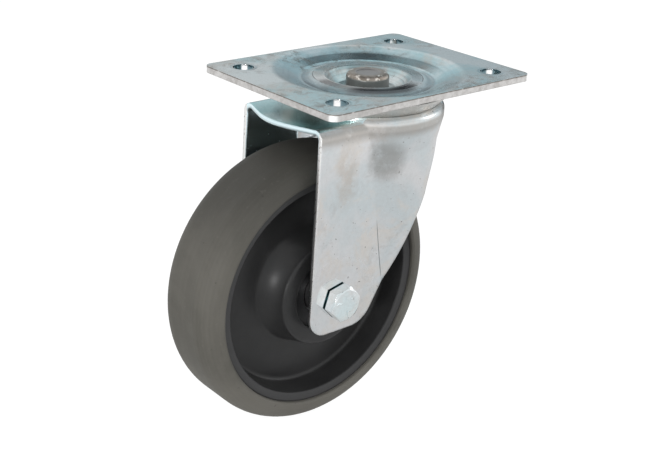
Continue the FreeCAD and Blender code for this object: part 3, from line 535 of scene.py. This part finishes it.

# %% [markdown]
# ## The fork
#
# The fork is one pressed sheet, drawn deeper than anything else here, and the crown keeps more of
# the blue. The drawing leaves a crease between the flat leg and its bulge, and a thin dark line is
# painted as shade down its lower half. The sheared edges are bright and pitted. Round the bolt the
# leg is smoother, so it mirrors the bolt head. Painted shade lies on the rear of the crown, on the
# darker brow under the shoulder, on a patch high on the bulge and on every face that looks down.
# The near side of the crown's top is painted paler, as a painted reflection. The sheet between the
# legs is painted bluer, as a painted reflection too. That mask also takes in the front of the
# shoulder, which comes out too pale a blue.

# %% Fork finish
def make_fork_zinc():
    tree = new_finish("zinc_fork", Metallic=1.0)
    color, soil, grain = zinc_skin(tree, (0.735, 0.745, 0.755), (0.64, 0.695, 0.715),
                                   (0.73, 0.70, 0.665), 0.18, shift=5.0)
    radius = tree.around()[0]
    x, y, z = tree.apart(tree.place())
    n_x, n_y, n_z = tree.facing()
    top = tree.band(n_z, 0.80, 0.97) * tree.band(x, -12.0 * MM, -26.0 * MM)
    blue = tree.blend(tree.band(tree.noise(34.0, detail=4.0, shift=8.0), 0.38, 0.62),
                      (0.42, 0.73, 0.76), (0.60, 0.80, 0.82))
    # Painted reflection: the near side of the crown's top is paler.
    blue = tree.blend(tree.band(y, -24.0 * MM, -28.0 * MM), blue, (0.92, 1.0, 1.0))
    shade = tree.spot((-46.0 * MM, -6.0 * MM, 0.0), (15.0 * MM, 19.0 * MM, 1.0))
    blue = tree.blend(shade * 0.9, blue, (0.13, 0.19, 0.18))
    color = tree.blend(top * 0.95, color, blue)
    # Painted shade: faces that look down are darker.
    under = tree.band(n_z, -0.5, -0.8)
    color = tree.blend(under, color, (0.50, 0.52, 0.54))
    hand = tree.spot((-39.0 * MM, leg_face, -42.0 * MM), (9.0 * MM, 9.0 * MM, 20.0 * MM))
    thumb = tree.noise(120.0, detail=6.0, roughness=0.7, shift=2.0)
    color = tree.blend(hand * tree.band(thumb, 0.30, 0.62) * 0.5, color, (0.50, 0.44, 0.38))
    # Painted shade: a grey patch high on the bulge, next to the crease.
    bulge_shade = tree.spot((-14.0 * MM, leg_face, -36.0 * MM), (14.0 * MM, 12.0 * MM, 15.0 * MM))
    color = tree.blend(bulge_shade * tree.band(thumb, 0.20, 0.55) * 0.75, color, (0.34, 0.34, 0.33))
    brow = tree.band(z, -27.0 * MM, -21.0 * MM) * tree.band(z, -17.0 * MM, -19.0 * MM)
    brow = brow * tree.band(radius, 38.0 * MM, 40.0 * MM) * (1.0 - top)
    color = tree.blend(brow * tree.band(thumb, 0.10, 0.50) * 0.8, color, (0.40, 0.38, 0.355))
    cone_top, cone_foot = (38.3 * MM, -34.0 * MM), (32.2 * MM, -126.6 * MM)
    slope = (cone_top[0] - cone_foot[0]) / (cone_top[1] - cone_foot[1])
    cone = cone_top[0] + (z - cone_top[1]) * slope
    flat = tree.band(abs(abs(y) + leg_face), 0.02 * MM, 0.01 * MM)
    # Painted shade: a thin dark line down the lower half of the crease.
    crease = tree.near(radius - cone, 0.12 * MM, 0.14 * MM) * flat
    crease = crease * tree.band(z, -68.0 * MM, -76.0 * MM) * tree.band(z, -106.0 * MM, -98.0 * MM)
    color = tree.blend(crease * 0.85, color, (0.15, 0.17, 0.18))
    scratch = tree.noise(1.0, detail=2.0, vector=tree.place(scale=(900.0, 900.0, 75.0)))
    field = tree.band(tree.noise(55.0, detail=2.0, shift=4.0), 0.55, 0.65)
    scratch = tree.band(scratch, 0.70, 0.76) * field
    color = tree.blend(scratch * 0.6, color, (0.30, 0.29, 0.28))
    edge = tree.band(n_x, -0.75, -0.92)
    pits = tree.band(tree.noise(900.0, detail=2.0, shift=6.0), 0.60, 0.70) * edge
    color = tree.blend(edge, color, (0.88, 0.88, 0.87))
    color = tree.blend(pits * 0.8, color, (0.25, 0.23, 0.21))
    # Painted reflection: the sheet between the legs is a paler blue.
    inside = tree.band(abs(y), 29.6 * MM, 29.2 * MM) * (1.0 - top)
    color = tree.blend(inside * (1.0 - under), color, (0.80, 0.96, 1.0))
    bolt = tree.around(axle, 1)[0]
    polish = tree.band(bolt, 26.0 * MM, 15.0 * MM)
    rough = 0.24 + grain * 0.10 + soil * 0.3 + edge * 0.12 - polish * 0.17 - inside * 0.10 - top * 0.08
    relief = grain + scratch * -0.8 + crease * -2.0 - pits * 2.0
    normal = tree.bump(relief, 0.08, 0.2 * MM, tree.soft_edges(1.8 * MM))
    return feed(tree, color=color, roughness=rough, normal=normal)


wear(make_fork_zinc(), "fork")

# %% [markdown]
# ## Cup and fasteners
#
# The swivel cup is drawn zinc as well, greyer because it is greased in use. The bolt, the nuts
# and the washer are plated after threading and are the brightest pieces on the castor. The
# millimetre of them that lies against a leg is painted a dark teal, as shade where they meet.

# %% Cup and fastener finishes
def make_plain_zinc(name, clean, cool, warm, soil, smooth, edge, shift):
    tree = new_finish(name, Metallic=1.0)
    color, dirt, grain = zinc_skin(tree, clean, cool, warm, soil, shift)
    y, z = tree.apart(tree.place())[1:]
    # Painted shade: a dark teal band where bolt, nut and washer meet a leg.
    contact_shade = tree.band(abs(y), -leg_face + 1.05 * MM, -leg_face + 0.85 * MM)
    contact_shade = contact_shade * tree.band(abs(y), -leg_face - 0.3 * MM, -leg_face - 0.1 * MM)
    contact_shade = contact_shade * tree.band(z, -60.0 * MM, -70.0 * MM)
    color = tree.blend(contact_shade, color, (0.02, 0.085, 0.095))
    normal = tree.bump(grain, 0.06, 0.2 * MM, tree.soft_edges(edge))
    return feed(tree, color=color, roughness=smooth + grain * 0.08 + dirt * 0.3, normal=normal)


zinc_cup = make_plain_zinc("zinc_cup", (0.64, 0.62, 0.59), (0.58, 0.58, 0.56), (0.54, 0.50, 0.45),
                           0.30, 0.24, 0.3 * MM, 11.0)
zinc_fasteners = make_plain_zinc("zinc_fasteners", (0.88, 0.91, 0.92), (0.78, 0.89, 0.91),
                                 (0.84, 0.83, 0.80), 0.12, 0.12, 0.35 * MM, 14.0)
wear(zinc_cup, "swivel_cup")
wear(zinc_fasteners, "axle_bolt", "axle_nut", "nut_washer", "kingpin_nut")

# %% [markdown]
# ## The kingpin
#
# The pin's head sits down in the plate. It is forged and phosphated to a bronze brown, and its
# round edge carries small bright, smoother spots. The dish in its top is dull.

# %% Kingpin finish
def make_pin_finish():
    tree = new_finish("pin_steel", Metallic=1.0)
    radius = tree.around()[0]
    n_z = tree.facing()[2]
    cloud = tree.noise(190.0, detail=6.0, roughness=0.7)
    color = tree.blend(tree.band(cloud, 0.36, 0.66), (0.25, 0.22, 0.19), (0.42, 0.38, 0.34))
    side = tree.band(n_z, 0.35, 0.05)
    color = tree.blend(side * 0.8, color, (0.34, 0.36, 0.355))
    dish = tree.band(radius, 7.4 * MM, 6.4 * MM) * tree.band(n_z, 0.5, 0.8)
    color = tree.blend(dish, color, tree.blend(cloud, (0.30, 0.29, 0.285), (0.42, 0.41, 0.405)))
    rim = tree.band(radius, 7.5 * MM, 8.6 * MM) * tree.band(n_z, 0.1, 0.4)
    # Small bright, smoother spots on the round edge.
    edge_spots = tree.band(tree.noise(330.0, detail=3.0, shift=1.0), 0.56, 0.66) * rim
    color = tree.blend(edge_spots, color, (0.80, 0.76, 0.70))
    rough = 0.34 + cloud * 0.16 - edge_spots * 0.18 + dish * 0.06
    normal = tree.bump(cloud, 0.35, 0.15 * MM, tree.soft_edges(0.3 * MM))
    return feed(tree, color=color, roughness=rough, normal=normal)


wear(make_pin_finish(), "kingpin")

# %% [markdown]
# ## Turned and ground steel
#
# The sleeve, the bushes and the lower race were turned, and fine rings run round the axis they
# were turned about. The bearing rings and all the balls are ground, so they are nearly mirrors.

# %% Steels
def make_steel(name, color, dark, centre, along, smooth, rings):
    """Turned or ground steel; along is the index of the axis it was turned about."""
    tree = new_finish(name, Metallic=1.0)
    radius, height = tree.around(centre, along)
    cloud = tree.noise(60.0, detail=5.0)
    turned = tree.lathe(radius, height, rings, detail=2.0)
    tone = tree.blend(tree.band(cloud, 0.35, 0.7), color, dark)
    normal = tree.bump(turned, 0.15, 0.05 * MM, tree.soft_edges(0.25 * MM))
    return feed(tree, color=tone, roughness=smooth + cloud * 0.12 + turned * 0.06, normal=normal)


swivel = (0.0, 0.0, 0.0)
wear(make_steel("turned_steel", (0.55, 0.55, 0.56), (0.42, 0.41, 0.40), axle, 1, 0.22, 2500.0),
     "axle_tube", "axle_bush_left", "axle_bush_right", "bearing_spacer")
wear(make_steel("race_steel", (0.50, 0.50, 0.50), (0.36, 0.34, 0.32), swivel, 2, 0.24, 2500.0),
     "lower_race")
wear(make_steel("bearing_steel", (0.70, 0.70, 0.71), (0.60, 0.60, 0.61), axle, 1, 0.10, 4000.0),
     "outer_ring_left", "outer_ring_right", "inner_ring_left", "inner_ring_right")
wear(make_steel("ball_steel", (0.76, 0.76, 0.77), (0.70, 0.70, 0.71), swivel, 2, 0.03, 900.0),
     "upper_balls", "lower_balls", "bearing_balls_left", "bearing_balls_right")

# %% [markdown]
# ## The tyre
#
# The tyre is warm grey rubber, dull all over. It was trimmed on a lathe, so very fine streaks
# run round it, and chalk from the mould shows in soft patches. As it stands at rest, the lower
# part is paler, with dust and with painted light from the floor below, and the part under the
# fork is painted darker, as the fork's shade. Both turn with the wheel.

# %% Tyre finish
def make_rubber():
    tree = new_finish("grey_rubber", Specular_IOR_Level=0.35)
    radius, across = tree.around(axle, 1)
    streaks = tree.lathe(radius, across, 700.0, detail=5.0)
    patches = tree.noise(20.0, detail=6.0, roughness=0.6, distortion=0.8)
    speck = tree.noise(420.0, detail=4.0, roughness=0.7)
    skin = tree.noise(1500.0, detail=2.0)
    chalk = (tree.band(patches, 0.34, 0.70) * 0.8 + tree.band(streaks, 0.30, 0.72) * 0.2) * 0.9
    color = tree.blend(chalk, (0.098, 0.094, 0.080), (0.156, 0.148, 0.129))
    z = tree.apart(tree.place())[2]
    # Paler low down: dust, and painted light from the floor below.
    dust_and_floor_light = tree.band(z, -110.0 * MM, -180.0 * MM) * tree.band(patches, 0.2, 0.5)
    color = tree.blend(dust_and_floor_light * 0.45, color, (0.215, 0.205, 0.18))
    # Painted shade: darker under the fork.
    fork_shade = tree.band(z, -85.0 * MM, -40.0 * MM)
    color = tree.blend(fork_shade * 0.55, color, (0.055, 0.053, 0.048))
    color = tree.blend(tree.band(speck, 0.58, 0.80) * 0.35, color, (0.19, 0.18, 0.165))
    mark = tree.band(tree.noise(260.0, detail=2.0, shift=2.0), 0.70, 0.76)
    color = tree.blend(mark * 0.5, color, (0.05, 0.047, 0.042))
    normal = tree.bump(skin * 0.5 + speck * 0.4 + streaks * 0.3, 0.25, 0.15 * MM,
                       tree.soft_edges(0.4 * MM))
    return feed(tree, color=color, roughness=0.54 + patches * 0.16, normal=normal)


wear(make_rubber(), "tyre")

# %% [markdown]
# ## The mouldings
#
# The core is black nylon with a satin skin from the mould. Its rim was trimmed after moulding,
# which left it greyer and duller than the rest. A wide bump makes the steep wall of the hub
# catch light like a gentler slope. The dust caps are black as well. The cages and the ring in
# the lock nut are plain nylon.

# %% Mouldings
def make_core_plastic():
    tree = new_finish("black_plastic", Specular_IOR_Level=0.28)
    radius, across = tree.around(axle, 1)
    cloud = tree.noise(40.0, detail=6.0, roughness=0.6)
    skin = tree.noise(1300.0, detail=3.0)
    lint = tree.band(tree.noise(520.0, detail=2.0, shift=3.0), 0.72, 0.78)
    color = tree.blend(tree.band(cloud, 0.3, 0.75), (0.029, 0.029, 0.0295), (0.040, 0.040, 0.0405))
    rim = tree.band(radius, 58.1 * MM, 58.6 * MM)
    trimmed = tree.lathe(radius, across, 1500.0)
    color = tree.blend(rim, color, tree.blend(trimmed, (0.048, 0.048, 0.049), (0.068, 0.068, 0.069)))
    color = tree.blend(lint * 0.3, color, (0.07, 0.07, 0.07))
    climb = across.maths("MAXIMUM", abs(across) - 4.6 * MM, 0.0)
    swell = climb * (climb / (2.0 * 17.8 * MM) - 1.0) * tree.band(radius, 42.0 * MM, 36.0 * MM)
    swollen = tree.bump(swell * 0.9, 1.0, 1.0, tree.soft_edges(1.6 * MM))
    normal = tree.bump(skin + trimmed * rim * 0.8, 0.10, 0.1 * MM, swollen)
    return feed(tree, color=color, roughness=0.27 + cloud * 0.12 + rim * 0.2, normal=normal)


def make_plastic(name, color, pale, smooth, edge):
    tree = new_finish(name)
    cloud = tree.noise(35.0, detail=5.0)
    skin = tree.noise(1800.0, detail=2.0)
    tone = tree.blend(tree.band(cloud, 0.3, 0.8) * 0.6, color, pale)
    normal = tree.bump(skin, 0.12, 0.1 * MM, tree.soft_edges(edge))
    return feed(tree, color=tone, roughness=smooth + cloud * 0.14, normal=normal)


wear(make_core_plastic(), "wheel_core")
wear(make_plastic("black_caps", (0.012, 0.012, 0.013), (0.02, 0.02, 0.022), 0.38, 0.3 * MM),
     "dust_cap_left", "dust_cap_right")
wear(make_plastic("nylon", (0.74, 0.72, 0.66), (0.80, 0.79, 0.74), 0.42, 0.2 * MM),
     "nut_insert", "ball_cage_left", "ball_cage_right")

# %% [markdown]
# ## Fine forms, grown by Geometry Nodes
#
# A few small things are too fine for the CAD model: the thread that shows past each nut and the
# marks on the bolt's head. Each is a small Geometry Nodes tree with named inputs, so one tree
# serves both threads. The tree is baked to a plain mesh, which then rides on a body of the frame.

# %% Growing a piece
class Growth(Tree):
    """A Geometry Nodes tree with named inputs."""

    def __init__(self, name):
        group = bpy.data.node_groups.new(name, "GeometryNodeTree")
        super().__init__(group, "GeometryNode")
        group.interface.new_socket("Geometry", in_out="OUTPUT", socket_type="NodeSocketGeometry")
        self.given = group.nodes.new("NodeGroupInput")
        self.inputs = {}

    def ask(self, name, kind="Float"):
        """A named input and its wire."""
        socket = self.tree.interface.new_socket(
            name, in_out="INPUT", socket_type="NodeSocket" + kind)
        self.inputs[name] = socket.identifier
        return Wire(self.tree, self.given.outputs[name])

    def close(self, geometry):
        """End the tree: real instances, with the finish given as an input."""
        finish = self.ask("Finish", "Material")
        geometry = self.node("RealizeInstances", {}, {"Geometry": geometry})
        geometry = self.node("SetMaterial", {}, {"Geometry": geometry, "Material": finish})
        out = self.tree.nodes.new("NodeGroupOutput")
        self.tree.links.new(geometry.socket, out.inputs["Geometry"])
        return self


def grow(name, tree, place, body, slot, **values):
    """Bake a tree to one mesh, put it in place and let it ride on a body."""
    piece = bpy.data.objects.new(name, bpy.data.meshes.new(name))
    bpy.context.collection.objects.link(piece)
    modifier = piece.modifiers.new(name, "NODES")
    modifier.node_group = tree.tree
    for key, value in values.items():
        modifier[tree.inputs[key]] = value
    graph = bpy.context.evaluated_depsgraph_get()
    mesh = bpy.data.meshes.new_from_object(piece.evaluated_get(graph))
    piece.modifiers.clear()
    piece.data = mesh
    mesh.transform(place)
    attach(piece, body)
    print(name, "faces:", len(mesh.polygons))


# %% Threads
def thread_tree():
    """One ridge that winds round a rod from the ground up."""
    tree = Growth("thread")
    radius, pitch, length = tree.ask("Radius"), tree.ask("Pitch"), tree.ask("Length")
    path = tree.node("CurveSpiral", {}, {
        "Resolution": 40, "Rotations": length / pitch, "Start Radius": radius,
        "End Radius": radius, "Height": length})
    path = tree.node("SetCurveNormal", {"mode": "Z_UP"}, {"Curve": path})
    ridge = tree.node("CurvePrimitiveCircle", {}, {"Resolution": 3, "Radius": pitch * 0.36})
    return tree.close(tree.node("CurveToMesh", {}, {
        "Curve": path, "Profile Curve": ridge, "Fill Caps": True}))


thread = thread_tree()
head_face, bolt_end = [corner[1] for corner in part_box("axle_bolt")]
nut_end = max(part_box("axle_nut")[1][1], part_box("nut_insert")[1][1])
pin_end, pin_nut_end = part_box("kingpin")[0][2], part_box("kingpin_nut")[0][2]
print("bolt from", round(head_face, 4), "to", round(bolt_end, 4), "past its nut at",
      round(nut_end, 4), "and the pin to", round(pin_end, 4), "past", round(pin_nut_end, 4))
onto_bolt = (Matrix.Translation((axle.x, nut_end + 0.3 * MM, axle.z))
             @ Matrix.Rotation(-math.pi / 2, 4, "X"))
grow("bolt_thread", thread, onto_bolt, "fork_frame", "zinc_fasteners", Radius=4.3 * MM,
     Pitch=1.5 * MM, Length=bolt_end - nut_end - 1.5 * MM, Finish=zinc_fasteners)
grow("pin_thread", thread, Matrix.Translation((0, 0, pin_end + 1.0 * MM)), "head", "pin_steel",
     Radius=5.3 * MM, Pitch=1.25 * MM, Length=1.25 * MM, Finish=bpy.data.materials["pin_steel"])


# %% Marks on the bolt's head
def mark_tree():
    """Short raised bars in a ring, each pointing outwards."""
    tree = Growth("marks")
    radius, count, bar = tree.ask("Radius"), tree.ask("Count", "Int"), tree.ask("Bar", "Vector")
    ring = tree.node("MeshCircle", {}, {"Vertices": count, "Radius": radius})
    block = tree.node("MeshCube", {}, {"Size": bar})
    turn = tree.node("InputIndex") * (2.0 * math.pi) / count
    bearing = tree.node("ShaderNodeCombineXYZ", {}, {"Z": turn})
    return tree.close(tree.node("InstanceOnPoints", {}, {
        "Points": ring, "Instance": block, "Rotation": bearing}))


onto_head = (Matrix.Translation((axle.x, head_face, axle.z)) @ Matrix.Rotation(math.pi / 2, 4, "X")
             @ Matrix.Rotation(math.radians(40), 4, "Z"))
grow("head_marks", mark_tree(), onto_head, "fork_frame", "zinc_fasteners", Radius=5.2 * MM,
     Count=3, Bar=(3.0 * MM, 0.9 * MM, 0.7 * MM), Finish=zinc_fasteners)
